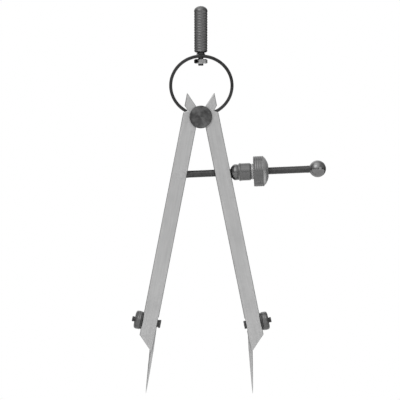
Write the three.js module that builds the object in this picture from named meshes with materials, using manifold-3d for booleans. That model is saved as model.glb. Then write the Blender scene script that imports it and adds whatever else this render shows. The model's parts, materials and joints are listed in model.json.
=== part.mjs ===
// A spring divider: two steel legs on a fulcrum spool, sprung apart by a bow, held by a screw and
// nut, with a clamped needle at the foot of each leg and a knurled handle on the bow's crown.
// Millimetres. X runs across the legs, Y from front to back, Z up. The origin is the centre of the
// fulcrum's flat back face. Inside the group, Y is 0 at the legs' middle depth and X and Z are 0 on
// the fulcrum's axis.

import * as THREE from 'three';
import { mergeVertices } from 'three/addons/utils/BufferGeometryUtils.js';
import Module from 'manifold-3d';

const wasm = await Module();
wasm.setup();

// --- Driving dimensions -------------------------------------------------------------------------

const CLEARANCE = 0.3; // between pieces that touch or run on each other
const ROUND = 40; // facets round a turned piece
const FINE_ROUND = 24; // facets round a small pin or hole
const CURVE_STEPS = 6; // steps along a dome or a ball face in a turned profile
const EDGE = 0.3; // chamfer on the ends of turned pieces

const SIDES = { left: -1, right: 1 };

const LEG = {
  depth: 6.5,
  inner: 1.4, // inner edge's distance from the line through the fulcrum
  outer: 9.65,
  angle: { left: 11.1, right: 11.5 }, // degrees from upright at rest
  hornTip: -11.25, // measured down the leg from the fulcrum, as all lengths along it
  bevelStart: 120.3,
  end: 127.7,
};

const NOTCH = { top: -4.3, bottom: -0.7, along: -1.9, across: 7.45 }; // where the bow's end sits
const BOW_END = { underside: 0.9, upside: 0.8 }; // how far up each notch wall the bow's end begins

const SWING = { closing: -10.8, opening: 19 }; // degrees each leg turns from rest

const FULCRUM = { discRadius: 6.03, discDepth: 1.8, capDepth: 2.2, rollerRadius: 4.5, pinRadius: 2.2 };

const BOW = {
  centreX: 0.3,
  centreZ: 16.8,
  width: 34.4,
  height: 33,
  thickness: 1.65,
  depth: 6,
  endAngle: 33, // degrees either side of straight down at which the full thickness ends
};

const HANDLE = { radius: 3.6, bottom: 34.4, length: 24.85, dome: 2.7, chamfer: 0.7 };
const STUD = { radius: 1.4, collarRadius: 2.4, end: 27.4, engagement: 11 };
const BOW_NUT = { cornerRadius: 3.65, top: 30.9, height: 2.4, turn: 42 }; // turn in degrees

const SCREW = {
  tilt: 2.4, // degrees the screw rises to the right
  anchor: [-10.8, -30.7], // the trunnion's axis, X and Z
  radius: 1.92,
  spigotRadius: 1.1,
  spigotInset: 1.2, // from the trunnion's surface to the spigot's end
  ballCentre: 73.2, // along the screw from the trunnion's axis
  ballRadius: 4.5,
};
const TRUNNION_RADIUS = 2.5;
const SLOT_HALF = 2.25; // half the height and half the depth of the legs' screw slots
const SLOT_REACH = { outward: 12, inward: 14 }; // from the slot's pivot, past the leg's edge

const SWIVEL = { pole: 26.3, faceRadius: 4.92, rimRadius: 4.25, end: 31.1 };
const TROUGH = { below: 7, above: 5.5 }; // how far it runs down and up the leg from the washer's face
const NUT = {
  hubStart: 31.4,
  lipEnd: 32.1,
  lipRadius: 4.75,
  lipTaper: 0.2,
  hubRadius: 4.6,
  hubEnd: 37.4,
  hubTaper: 0.5,
  neckRadius: 3.9,
  neckEnd: 39,
  wheelRadius: 8.1,
  wheelChamfer: 0.3,
  rimEnd: 44.2,
  shoulderRadius: 6.77,
  shoulder: 45.45,
  crownRadius: 4.9,
  crown: 46.45,
  wheelEnd: 46.95,
  recessRadius: 3.2,
  recessDepth: 1.2,
};

const CLAMP = {
  along: { left: 112.6, right: 113.4 },
  boltRadius: 2.2,
  boltInner: { left: -0.3, right: 0.45 }, // the thick end's face, across the leg
  boltStep: 6,
  stemRadius: 1.42,
  stemEnd: 15.25,
  washerRadius: 4.7,
  washerThickness: 0.7,
  nutRadius: 4.95,
  nutEnd: 13.85,
  nutChamfer: 0.8,
  reliefHalf: 3.4,
  reliefDepth: 0.3,
};

const NEEDLE = {
  shankRadius: 1.1,
  coneRadius: 1.0,
  pointRadius: 0.15,
  pointLength: 0.3,
  coneLength: 22.6,
  collarLength: 0.6, // the cone's straight upper end
  length: 44.5,
  travelIn: 5, // how far it slides up into the leg from rest
  tip: { left: [150.5, 0.4], right: [150.3, -2.3] }, // along and across the leg
  lean: { left: 3.5, right: 8.8 }, // degrees the point leans inward from the leg
};

const COLOURS = {
  legSteel: { color: 0xc3c3c2, roughness: 0.42, metalness: 1 },
  needleSteel: { color: 0xb4b4b4, roughness: 0.25, metalness: 1 },
  springSteel: { color: 0x3c3c3e, roughness: 0.35, metalness: 1 },
  knurledSteel: { color: 0x77787a, roughness: 0.35, metalness: 1 },
  darkSteel: { color: 0x565759, roughness: 0.3, metalness: 1 },
};

const rad = THREE.MathUtils.degToRad;
const HALF_DEPTH = LEG.depth / 2;
const DISC_FACE = HALF_DEPTH + CLEARANCE; // where the fulcrum's two discs start
const BACK_FACE = DISC_FACE + FULCRUM.capDepth;

// --- Building blocks ----------------------------------------------------------------------------

// A closed three.js geometry as a Manifold solid. The flat triangles at a lathe's poles are dropped.
function asSolid(geometry) {
  const bare = geometry.clone();
  bare.deleteAttribute('normal');
  bare.deleteAttribute('uv');
  const merged = mergeVertices(bare, 1e-4);
  const corners = merged.index.array;
  const kept = [];
  for (let i = 0; i < corners.length; i += 3) {
    const [a, b, c] = corners.slice(i, i + 3);
    if (a !== b && b !== c && c !== a) kept.push(a, b, c);
  }
  const vertProperties = new Float32Array(merged.attributes.position.array);
  const triVerts = new Uint32Array(kept);
  return new wasm.Manifold(new wasm.Mesh({ numProp: 3, vertProperties, triVerts }));
}

function asGeometry(solid) {
  const mesh = solid.getMesh();
  const geometry = new THREE.BufferGeometry();
  geometry.setAttribute('position', new THREE.BufferAttribute(mesh.vertProperties, 3));
  geometry.setIndex(new THREE.BufferAttribute(mesh.triVerts, 1));
  geometry.computeVertexNormals();
  return geometry;
}

function cut(geometry, ...tools) {
  return asGeometry(tools.reduce((left, tool) => left.subtract(asSolid(tool)), asSolid(geometry)));
}

// An outline drawn in X and Z, given a depth along Y and centred on Y = 0.
function plate(outline, depth) {
  const block = new THREE.ExtrudeGeometry(outline, { depth, bevelEnabled: false, curveSegments: 40 });
  return block.translate(0, 0, -depth / 2).rotateX(Math.PI / 2);
}

// A profile of [radius, height] pairs turned about Y, from the bottom up round the outside.
function turned(profile, facets = ROUND) {
  const points = profile.map(([radius, height]) => new THREE.Vector2(radius, height));
  return new THREE.LatheGeometry(points, facets);
}

function turnedAlongZ(profile, facets) {
  return turned(profile, facets).rotateX(Math.PI / 2);
}

// side is 1 for a piece that points along +X and -1 for one that points along -X.
function turnedAlongX(profile, side = 1, facets = ROUND) {
  return turned(profile, facets).rotateZ((-side * Math.PI) / 2);
}

function pin(radius, from, to) {
  return [[0, from], [radius, from], [radius, to], [0, to]];
}

function tube(inner, outer, from, to) {
  return [[inner, from], [outer, from], [outer, to], [inner, to], [inner, from]];
}

function piece(name, geometry, look) {
  const mesh = new THREE.Mesh(geometry, new THREE.MeshStandardMaterial(COLOURS[look]));
  mesh.name = name;
  return mesh;
}

// --- Legs ---------------------------------------------------------------------------------------
// A leg is drawn with the fulcrum at 0, `across` along X away from the other leg and `along`
// down -Z. Its group then swings it out to its angle.

function legPoint(side, along, across) {
  return new THREE.Vector2(side * across, -along);
}

// How the screw's direction stands in a leg's own frame when that leg has swung by `swing` degrees.
function screwAngleInLeg(name, swing) {
  return rad(SCREW.tilt - SIDES[name] * (LEG.angle[name] + swing));
}

// A point of the model, X and Z, in a leg's own frame at rest.
function inLegFrame(name, [x, z]) {
  const swing = -SIDES[name] * rad(LEG.angle[name]);
  return new THREE.Vector2(x, z).rotateAround(new THREE.Vector2(), swing);
}

function legOutline(name) {
  const side = SIDES[name];
  const seat = FULCRUM.rollerRadius + CLEARANCE;
  const seatStart = -Math.acos(LEG.inner / seat);
  // the horn's slanted edge runs at 45 degrees from the tip, and meets the round seat
  const slant = LEG.outer + LEG.hornTip;
  const seatEnd = Math.PI / 2 - (Math.acos(-slant / (seat * Math.SQRT2)) - Math.PI / 4);
  const clamp = CLAMP.along[name];
  const relief = LEG.inner + CLAMP.reliefDepth;
  const outline = new THREE.Shape();
  const corners = [
    [LEG.hornTip, LEG.outer],
    [NOTCH.top, LEG.outer],
    [NOTCH.along, NOTCH.across],
    [NOTCH.bottom, LEG.outer],
    [LEG.bevelStart, LEG.outer],
    [LEG.end, LEG.outer - (LEG.end - LEG.bevelStart)],
    [LEG.end, LEG.inner],
    [clamp + CLAMP.reliefHalf, LEG.inner],
    [clamp + CLAMP.reliefHalf - CLAMP.reliefDepth, relief],
    [clamp - CLAMP.reliefHalf + CLAMP.reliefDepth, relief],
    [clamp - CLAMP.reliefHalf, LEG.inner],
  ];
  corners.forEach(([along, across], i) => {
    const corner = legPoint(side, along, across);
    if (i === 0) outline.moveTo(corner.x, corner.y);
    else outline.lineTo(corner.x, corner.y);
  });
  if (side > 0) outline.absarc(0, 0, seat, seatStart, seatEnd, false);
  else outline.absarc(0, 0, seat, Math.PI - seatStart, Math.PI - seatEnd, true);
  outline.closePath();
  return outline;
}

// The room that the screw sweeps as it swings about a pivot between two angles, out to `reach`.
function screwSlot(pivot, from, to, reach) {
  const [low, high] = [Math.min(from, to), Math.max(from, to)];
  const far = (angle, offset) => [
    pivot.x + reach * Math.cos(angle) - offset * Math.sin(angle),
    pivot.y + reach * Math.sin(angle) + offset * Math.cos(angle),
  ];
  const outline = new THREE.Shape();
  outline.absarc(pivot.x, pivot.y, SLOT_HALF, high + Math.PI / 2, low + 1.5 * Math.PI, false);
  outline.lineTo(...far(low, -SLOT_HALF));
  outline.lineTo(...far(high, SLOT_HALF));
  outline.closePath();
  return plate(outline, 2 * SLOT_HALF);
}

// Where the swivel washer bears: the point of the right leg that mirrors the trunnion's axis about
// the line square to the screw, so that the screw keeps its direction as the legs swing.
function bearingPoint() {
  const anchor = new THREE.Vector2(...SCREW.anchor);
  const along = new THREE.Vector2(Math.cos(rad(SCREW.tilt)), Math.sin(rad(SCREW.tilt)));
  return anchor.clone().addScaledVector(along, -2 * anchor.dot(along));
}

function leftScrewCuts() {
  const pivot = inLegFrame('left', SCREW.anchor);
  const angles = [SWING.closing, SWING.opening].map((swing) => screwAngleInLeg('left', swing));
  const hole = turned(pin(TRUNNION_RADIUS + CLEARANCE, -LEG.depth, LEG.depth), FINE_ROUND);
  hole.translate(pivot.x, 0, pivot.y);
  return [hole, screwSlot(pivot, ...angles, SLOT_REACH.outward)];
}

function rightScrewCuts() {
  const bearing = bearingPoint();
  const pivot = inLegFrame('right', [bearing.x, bearing.y]);
  const angles = [SWING.closing, SWING.opening].map((swing) => screwAngleInLeg('right', swing));
  const inward = angles.map((angle) => angle + Math.PI);
  return [
    screwSlot(pivot, ...angles, SLOT_REACH.outward),
    screwSlot(pivot, ...inward, SLOT_REACH.inward),
    swivelTrough(pivot),
  ];
}

// A shallow trough across the right leg's outer edge, which the swivel washer's face rocks in.
function swivelTrough(pivot) {
  const screwAngle = screwAngleInLeg('right', 0);
  const toEdge = (LEG.outer - pivot.x) / Math.cos(screwAngle);
  const dip = FULL_BEARING_LENGTH + toEdge - SWIVEL.pole;
  const radius = SWIVEL.faceRadius + CLEARANCE;
  const trough = turnedAlongZ(pin(radius, pivot.y - TROUGH.below, pivot.y + TROUGH.above), 64);
  return trough.translate(LEG.outer - dip + SWIVEL.faceRadius, 0, 0);
}

const FULL_BEARING_LENGTH = bearingPoint().distanceTo(new THREE.Vector2(...SCREW.anchor));

function clampBore(name) {
  const side = SIDES[name];
  const step = CLAMP.boltStep + CLEARANCE;
  const wide = turnedAlongX(pin(CLAMP.boltRadius + CLEARANCE, -4, step), side, FINE_ROUND);
  const narrow = turnedAlongX(pin(CLAMP.stemRadius + CLEARANCE, step - 1, 12), side, FINE_ROUND);
  return [wide, narrow].map((bore) => bore.translate(0, 0, -CLAMP.along[name]));
}

// Moves a piece drawn with its point at 0 and its shank up +Z to a needle's place in the leg.
function placeNeedle(geometry, name) {
  const [along, across] = NEEDLE.tip[name];
  const tip = legPoint(SIDES[name], along, across);
  return geometry.rotateY(SIDES[name] * rad(NEEDLE.lean[name])).translate(tip.x, 0, tip.y);
}

function needleBore(name) {
  const top = NEEDLE.length + NEEDLE.travelIn + 1;
  const bore = pin(NEEDLE.shankRadius + CLEARANCE, NEEDLE.coneLength - 6, top);
  return placeNeedle(turnedAlongZ(bore, FINE_ROUND), name);
}

function leg(name) {
  const screwCuts = name === 'left' ? leftScrewCuts() : rightScrewCuts();
  const bar = plate(legOutline(name), LEG.depth);
  return piece(`${name}_leg`, cut(bar, ...screwCuts, ...clampBore(name), needleBore(name)), 'legSteel');
}

// --- Needles and their clamps, in a leg's own frame ----------------------------------------------

function needle(name) {
  const shank = turnedAlongZ([
    [0, 0],
    [NEEDLE.pointRadius, NEEDLE.pointLength],
    [NEEDLE.coneRadius, NEEDLE.coneLength - NEEDLE.collarLength],
    [NEEDLE.coneRadius, NEEDLE.coneLength],
    [NEEDLE.shankRadius, NEEDLE.coneLength],
    [NEEDLE.shankRadius, NEEDLE.length],
    [0, NEEDLE.length],
  ], FINE_ROUND);
  return piece(`${name}_needle`, placeNeedle(shank, name), 'needleSteel');
}

// A stepped bolt across the leg. The needle passes through its thick end, so that the nut on its
// thin end draws the needle against the bore.
function clampBolt(name) {
  const inner = CLAMP.boltInner[name];
  const body = turnedAlongX([
    [0, inner],
    [CLAMP.boltRadius - EDGE, inner],
    [CLAMP.boltRadius, inner + EDGE],
    [CLAMP.boltRadius, CLAMP.boltStep],
    [CLAMP.stemRadius, CLAMP.boltStep],
    [CLAMP.stemRadius, CLAMP.stemEnd - EDGE],
    [CLAMP.stemRadius - EDGE, CLAMP.stemEnd],
    [0, CLAMP.stemEnd],
  ], SIDES[name], FINE_ROUND);
  body.translate(0, 0, -CLAMP.along[name]);
  return piece(`${name}_clamp_bolt`, cut(body, needleBore(name)), 'darkSteel');
}

const WASHER_START = LEG.outer + CLEARANCE;
const CLAMP_NUT_START = WASHER_START + CLAMP.washerThickness + CLEARANCE;

function clampWasher(name) {
  const bore = CLAMP.stemRadius + CLEARANCE;
  const ring = tube(bore, CLAMP.washerRadius, WASHER_START, WASHER_START + CLAMP.washerThickness);
  const geometry = turnedAlongX(ring, SIDES[name]).translate(0, 0, -CLAMP.along[name]);
  return piece(`${name}_clamp_washer`, geometry, 'darkSteel');
}

function clampNut(name) {
  const bore = CLAMP.stemRadius + CLEARANCE;
  const profile = [
    [bore, CLAMP_NUT_START],
    [CLAMP.nutRadius, CLAMP_NUT_START],
    [CLAMP.nutRadius, CLAMP.nutEnd - CLAMP.nutChamfer],
    [CLAMP.nutRadius - CLAMP.nutChamfer, CLAMP.nutEnd],
    [bore, CLAMP.nutEnd],
    [bore, CLAMP_NUT_START],
  ];
  const geometry = turnedAlongX(profile, SIDES[name]).translate(0, 0, -CLAMP.along[name]);
  return piece(`${name}_clamp_nut`, geometry, 'knurledSteel');
}

// --- Fulcrum ------------------------------------------------------------------------------------

function fulcrumStud() {
  const profile = [
    [0, -DISC_FACE - FULCRUM.discDepth],
    [FULCRUM.discRadius - EDGE, -DISC_FACE - FULCRUM.discDepth],
    [FULCRUM.discRadius, -DISC_FACE - FULCRUM.discDepth + EDGE],
    [FULCRUM.discRadius, -DISC_FACE],
    [FULCRUM.pinRadius, -DISC_FACE],
    [FULCRUM.pinRadius, DISC_FACE + FULCRUM.capDepth / 2],
    [0, DISC_FACE + FULCRUM.capDepth / 2],
  ];
  return piece('fulcrum_stud', turned(profile), 'darkSteel');
}

function fulcrumRoller() {
  const bore = FULCRUM.pinRadius + CLEARANCE;
  const profile = tube(bore, FULCRUM.rollerRadius, -HALF_DEPTH, HALF_DEPTH);
  return piece('fulcrum_roller', turned(profile), 'darkSteel');
}

// The back disc has a blind hole for the stud's end, so its outside face is whole.
function fulcrumCap() {
  const bore = FULCRUM.pinRadius + CLEARANCE;
  const holeEnd = DISC_FACE + FULCRUM.capDepth / 2 + CLEARANCE;
  const profile = [
    [0, holeEnd],
    [bore, holeEnd],
    [bore, DISC_FACE],
    [FULCRUM.discRadius, DISC_FACE],
    [FULCRUM.discRadius, BACK_FACE - EDGE],
    [FULCRUM.discRadius - EDGE, BACK_FACE],
    [0, BACK_FACE],
  ];
  return piece('fulcrum_cap', turned(profile), 'darkSteel');
}

// --- Bow, handle and what joins them ------------------------------------------------------------

// Two points of the bow's blunt end, each clear of one wall of the leg's notch.
function bowEnd(name) {
  const side = SIDES[name];
  const turn = side * rad(LEG.angle[name]);
  const inModel = (along, across) => legPoint(side, along, across).rotateAround(new THREE.Vector2(), turn);
  const root = inModel(NOTCH.along, NOTCH.across);
  return [[NOTCH.bottom, BOW_END.underside], [NOTCH.top, BOW_END.upside]].map(([mouth, reach]) => {
    const wall = inModel(mouth, LEG.outer).sub(root).normalize();
    const upward = Math.sign(NOTCH.along - mouth);
    const inside = new THREE.Vector2(-wall.y, wall.x).multiplyScalar(-side * upward);
    return root.clone().addScaledVector(wall, reach).addScaledVector(inside, CLEARANCE);
  });
}

function springBow() {
  const [right, left] = [rad(-90 + BOW.endAngle), rad(270 - BOW.endAngle)];
  const outer = [BOW.width / 2, BOW.height / 2];
  const inner = outer.map((radius) => radius - BOW.thickness);
  const [leftLow, leftHigh] = bowEnd('left');
  const [rightLow, rightHigh] = bowEnd('right');
  const strip = new THREE.Shape();
  strip.absellipse(BOW.centreX, BOW.centreZ, ...outer, right, left, false, 0);
  strip.lineTo(leftLow.x, leftLow.y);
  strip.lineTo(leftHigh.x, leftHigh.y);
  strip.absellipse(BOW.centreX, BOW.centreZ, ...inner, left - rad(3), right + rad(3), true, 0);
  strip.lineTo(rightHigh.x, rightHigh.y);
  strip.lineTo(rightLow.x, rightLow.y);
  strip.closePath();
  const hole = turnedAlongZ(pin(STUD.radius + CLEARANCE, BOW.centreZ, HANDLE.bottom), FINE_ROUND);
  return piece('spring_bow', cut(plate(strip, BOW.depth), hole), 'springSteel');
}

function handle() {
  const top = HANDLE.bottom + HANDLE.length;
  const holeTop = HANDLE.bottom + STUD.engagement + CLEARANCE;
  const profile = [
    [0, holeTop],
    [STUD.radius + CLEARANCE, holeTop],
    [STUD.radius + CLEARANCE, HANDLE.bottom],
    [HANDLE.radius - HANDLE.chamfer, HANDLE.bottom],
    [HANDLE.radius, HANDLE.bottom + HANDLE.chamfer],
    [HANDLE.radius, top - HANDLE.dome],
  ];
  for (let step = 1; step <= CURVE_STEPS; step += 1) {
    const angle = (step / CURVE_STEPS) * (Math.PI / 2);
    const radius = step === CURVE_STEPS ? 0 : HANDLE.radius * Math.cos(angle);
    profile.push([radius, top - HANDLE.dome + HANDLE.dome * Math.sin(angle)]);
  }
  return piece('handle', turnedAlongZ(profile), 'knurledSteel');
}

function handleStud() {
  const bowTop = BOW.centreZ + BOW.height / 2;
  const profile = [
    [0, STUD.end],
    [STUD.radius - EDGE, STUD.end],
    [STUD.radius, STUD.end + EDGE],
    [STUD.radius, bowTop + CLEARANCE],
    [STUD.collarRadius, bowTop + CLEARANCE],
    [STUD.collarRadius, HANDLE.bottom - CLEARANCE],
    [STUD.radius, HANDLE.bottom - CLEARANCE],
    [STUD.radius, HANDLE.bottom + STUD.engagement],
    [0, HANDLE.bottom + STUD.engagement],
  ];
  return piece('handle_stud', turnedAlongZ(profile, FINE_ROUND), 'darkSteel');
}

function bowNut() {
  const [bottom, top] = [BOW_NUT.top - BOW_NUT.height, BOW_NUT.top];
  const prism = turnedAlongZ(pin(BOW_NUT.cornerRadius, bottom, top), 6).rotateZ(rad(BOW_NUT.turn));
  const hole = turnedAlongZ(pin(STUD.radius + CLEARANCE, bottom - 1, top + 1), FINE_ROUND);
  return piece('bow_nut', cut(prism, hole), 'darkSteel');
}

// --- Screw, ball, swivel washer and nut, drawn along +X from the trunnion's axis ------------------

const BALL_NEAR = SCREW.ballCentre - Math.sqrt(SCREW.ballRadius ** 2 - SCREW.radius ** 2) - CLEARANCE;

function adjustingScrew() {
  const profile = [
    [0, -TRUNNION_RADIUS + SCREW.spigotInset],
    [SCREW.spigotRadius, -TRUNNION_RADIUS + SCREW.spigotInset],
    [SCREW.spigotRadius, TRUNNION_RADIUS + CLEARANCE],
    [SCREW.radius, TRUNNION_RADIUS + CLEARANCE],
    [SCREW.radius, BALL_NEAR],
    [SCREW.spigotRadius, BALL_NEAR],
    [SCREW.spigotRadius, SCREW.ballCentre],
    [0, SCREW.ballCentre],
  ];
  return piece('adjusting_screw', turnedAlongX(profile, 1, FINE_ROUND), 'darkSteel');
}

function screwTrunnion() {
  const barrel = turned(pin(TRUNNION_RADIUS, -HALF_DEPTH, HALF_DEPTH));
  const boreEnd = -TRUNNION_RADIUS + SCREW.spigotInset - CLEARANCE;
  const bore = pin(SCREW.spigotRadius + CLEARANCE, boreEnd, TRUNNION_RADIUS + 1);
  return piece('screw_trunnion', cut(barrel, turnedAlongX(bore, 1, FINE_ROUND)), 'legSteel');
}

function screwBall() {
  const ball = new THREE.SphereGeometry(SCREW.ballRadius, ROUND, 24).translate(SCREW.ballCentre, 0, 0);
  const boreEnd = SCREW.ballCentre + CLEARANCE;
  const bore = turnedAlongX(pin(SCREW.spigotRadius + CLEARANCE, BALL_NEAR - 1, boreEnd), 1, FINE_ROUND);
  return piece('screw_ball', cut(ball, bore), 'darkSteel');
}

// The swivel washer's left face is part of a ball, so that it can rock in the leg's trough.
function swivelWasher() {
  const bore = SCREW.radius + CLEARANCE;
  const ballCentre = SWIVEL.pole + SWIVEL.faceRadius;
  const profile = [];
  const [start, end] = [bore, SWIVEL.rimRadius].map((radius) => Math.asin(radius / SWIVEL.faceRadius));
  for (let step = 0; step <= CURVE_STEPS; step += 1) {
    const angle = start + ((end - start) * step) / CURVE_STEPS;
    const face = ballCentre - SWIVEL.faceRadius * Math.cos(angle);
    profile.push([SWIVEL.faceRadius * Math.sin(angle), face]);
  }
  profile.push([SWIVEL.rimRadius, SWIVEL.end], [bore, SWIVEL.end], profile[0]);
  return piece('swivel_washer', turnedAlongX(profile), 'darkSteel');
}

function adjustingNut() {
  const bore = SCREW.radius + CLEARANCE;
  const profile = [
    [bore, NUT.hubStart],
    [NUT.lipRadius, NUT.hubStart],
    [NUT.lipRadius, NUT.lipEnd],
    [NUT.hubRadius, NUT.lipEnd + NUT.lipTaper],
    [NUT.hubRadius, NUT.hubEnd],
    [NUT.neckRadius, NUT.hubEnd + NUT.hubTaper],
    [NUT.neckRadius, NUT.neckEnd],
    [NUT.wheelRadius - NUT.wheelChamfer, NUT.neckEnd],
    [NUT.wheelRadius, NUT.neckEnd + NUT.wheelChamfer],
    [NUT.wheelRadius, NUT.rimEnd],
    [NUT.shoulderRadius, NUT.shoulder],
    [NUT.crownRadius, NUT.crown],
    [NUT.recessRadius, NUT.wheelEnd],
    [NUT.recessRadius, NUT.wheelEnd - NUT.recessDepth],
    [bore, NUT.wheelEnd - NUT.recessDepth],
    [bore, NUT.hubStart],
  ];
  return piece('adjusting_nut', turnedAlongX(profile), 'knurledSteel');
}

// --- Assembly -----------------------------------------------------------------------------------

function legAssembly(name) {
  const assembly = new THREE.Group();
  assembly.add(leg(name), needle(name), clampBolt(name), clampWasher(name), clampNut(name));
  assembly.rotation.y = -SIDES[name] * rad(LEG.angle[name]);
  return assembly;
}

function screwAssembly() {
  const assembly = new THREE.Group();
  assembly.add(screwTrunnion(), adjustingScrew(), screwBall(), swivelWasher(), adjustingNut());
  assembly.position.set(SCREW.anchor[0], 0, SCREW.anchor[1]);
  assembly.rotation.y = -rad(SCREW.tilt);
  return assembly;
}

const divider = new THREE.Group();
divider.add(legAssembly('left'), legAssembly('right'), screwAssembly());
divider.add(fulcrumStud(), fulcrumRoller(), fulcrumCap());
divider.add(springBow(), handle(), handleStud(), bowNut());
divider.position.y = -BACK_FACE;

export default divider;
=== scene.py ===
"""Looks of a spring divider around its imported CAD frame.

Shapes are drawn in millimetres in local frames that come from the CAD's joints, and are scaled to
metres when their mesh is made. A turned piece is drawn about local Z. A leg is drawn with the
fulcrum at 0, X outward across the leg and Z up it.
"""
import json
import math

import bpy
from mathutils import Matrix, Vector

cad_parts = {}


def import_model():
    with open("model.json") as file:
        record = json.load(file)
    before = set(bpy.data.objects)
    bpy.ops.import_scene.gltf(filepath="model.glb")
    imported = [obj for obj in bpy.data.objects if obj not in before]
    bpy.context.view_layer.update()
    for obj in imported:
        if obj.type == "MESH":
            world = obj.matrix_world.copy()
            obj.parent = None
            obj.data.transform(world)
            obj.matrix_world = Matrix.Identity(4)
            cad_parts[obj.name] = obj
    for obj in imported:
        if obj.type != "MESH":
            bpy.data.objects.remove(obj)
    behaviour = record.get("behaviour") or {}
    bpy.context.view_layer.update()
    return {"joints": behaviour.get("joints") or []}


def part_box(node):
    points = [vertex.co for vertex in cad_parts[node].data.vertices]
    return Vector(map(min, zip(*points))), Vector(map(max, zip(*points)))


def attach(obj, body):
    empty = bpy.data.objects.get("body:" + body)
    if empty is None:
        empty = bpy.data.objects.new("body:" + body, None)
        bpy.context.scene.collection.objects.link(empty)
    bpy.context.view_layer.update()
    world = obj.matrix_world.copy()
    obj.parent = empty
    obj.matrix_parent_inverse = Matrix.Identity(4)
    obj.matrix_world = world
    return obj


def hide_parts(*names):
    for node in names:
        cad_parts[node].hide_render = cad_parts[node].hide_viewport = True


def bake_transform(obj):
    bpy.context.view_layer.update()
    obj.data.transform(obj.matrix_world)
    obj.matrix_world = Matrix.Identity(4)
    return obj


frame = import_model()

MM = 0.001
SIDES = {"left": -1, "right": 1}
JOINTS = {joint["name"]: joint for joint in frame["joints"]}

# --- Driving dimensions, in millimetres -----------------------------------------------------------

SEAM = 0.05  # gap left between pieces that touch
FRONT = (0, -1, 0)
BACK = (0, 1, 0)

LEG = {
    "depth": 6.5,
    "inner": 1.4,
    "outer": 9.65,
    "horn": 11.25,
    "seat": 4.55,
    "bevel_start": 120.3,
    "end": 127.7,
    "edge": 0.42,
}
NOTCH = {"top": 4.3, "root": (7.45, 1.9), "bottom": 0.7}
SLOT_HALF = 2.25  # half the height and half the depth of the legs' screw slots
SLOT_REACH = {"outward": 12, "inward": 14}  # from the slot's pivot, past the leg's edge
TROUGH = {"radius": 5.22, "centre": 4.92, "below": 7.0, "above": 5.5}  # the swivel washer's seat

CLAMP = {
    "along": {"left": 112.6, "right": 113.4},
    "relief_half": 3.4,
    "relief_depth": 0.3,
    "bolt_inner": {"left": -0.3, "right": 0.45},
    "bolt_radius": 2.2,
    "bolt_step": 6.0,
    "bore": (-4, 12),  # past the leg at both sides
    "stem_radius": 1.42,
    "stem_end": 15.25,
    "washer_radius": 4.7,
    "nut_radius": 4.95,
    "nut_start": 10.65,
    "nut_end": 13.85,
}
NEEDLE = {
    "shank": 1.1,
    "cone": 1.0,
    "cone_length": 22.6,
    "swell": 0.65,  # a power of the height; below 1 the cone bulges
    "length": 44.5,
    "bore_past": 6,  # how far its bore runs on past the shank
    "tip": {"left": (0.4, -150.5), "right": (-2.3, -150.3)},
}
BEVEL_FROM = 46  # degrees, so a leg's 45-degree corners and its seat's facets stay as they are
BOW = {
    "height": 33,
    "thickness": 1.65,
    "corner": 0.45,
    "end_angle": 33.0,
    "tip_half": 0.45,
    "tip_in_notch": (0.3, -0.02),
    "taper": 2.0,
}
FULCRUM = {
    "pin": 2.2,
    "rim": 0.75,
    "turning_width": 0.42,
    "turning_depth": 0.035,
    "last_ring": 0.5,
    "dimple": (0.35, 0.12),
}
HANDLE = {"bore": 1.45, "bore_depth": 11.3, "mouth": 1.9, "chamfer": 0.75, "dome": 2.7}
STEM = {"radius": 1.4, "collar": 2.4, "collar_height": 0.5, "neck": 2.0}
CROWN_NUT = {"turn": 12, "chamfer": 0.07, "slope": 32}  # turn and slope in degrees
SCREW = {"radius": 1.93, "core": 1.1, "pitch": 0.6, "thread": 0.13, "ball_at": 73.2, "ball": 4.5}
BARREL = 2.5  # radius of the trunnion
SWIVEL = {"pole": 26.3, "face": 4.92, "rim": 4.25, "end": 31.15}
HUB = {"start": 31.25, "lip_end": 32.1, "lip": 4.75, "radius": 4.6, "end": 37.4, "neck": 3.9}
WHEEL = {
    "start": 39.0,
    "radius": 8.1,
    "rim_end": 44.2,
    "shoulder": (6.77, 45.45),
    "crown": (4.9, 46.45),
    "end": 46.95,
    "recess": 3.2,
    "recess_depth": 1.2,
}
KNURLS = {
    "handle": {"teeth": 40, "pitch": 1.4, "depth": 0.2},
    "wheel": {"teeth": 90, "pitch": 1.15, "depth": 0.14},
    "clamp_nut": {"teeth": 40, "pitch": 0.95, "depth": 0.14, "fade": 0.15},
}
SMALL_THREAD = {"pitch": 0.5, "depth": 0.12}
SMALL_STEP = 0.08  # between a profile's points where a small thread or knurl is cut

# Segments round a turned piece. A knurled one has a number of them to each tooth instead.
SEGMENTS = {"screw": 32, "thin": 48, "trunnion": 72, "round": 96, "disc": 160}
SHARP = {"turned": 35, "leg": 40, "bow": 50, "hexagon": 25}  # degrees at which an edge stays crisp

# How bright the room is along each axis, as (position, level) pairs from -1 to 1
ROOM = {
    "across": [
        (-1, 0.4), (-0.75, 0.6), (-0.45, 1), (-0.2, 1), (0, 0.85), (0.3, 0.6), (0.6, 0.3), (1, 0.35),
    ],
    "deep": [(-1, 1), (0, 1), (0.2, 0.6), (0.6, 0.8), (1, 0.8)],
    "up": [
        (-1, 0.8), (-0.64, 0.6), (-0.3, 0.2), (-0.1, 0.25), (0.1, 0.45), (0.35, 0.8), (0.6, 1), (1, 1),
    ],
    "strength": 1.6,
}
FLOOR = {"half_width": 1500, "front": -3500, "back": 200, "level": -160}

# The camera's frame in metres, at the legs' middle depth. The sensor is in millimetres.
CAMERA = {"distance": 3.0, "width": 0.2135, "centre": (-0.00043, -0.0443), "sensor": 36.0, "far": 20}

# --- Frames --------------------------------------------------------------------------------------


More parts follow.
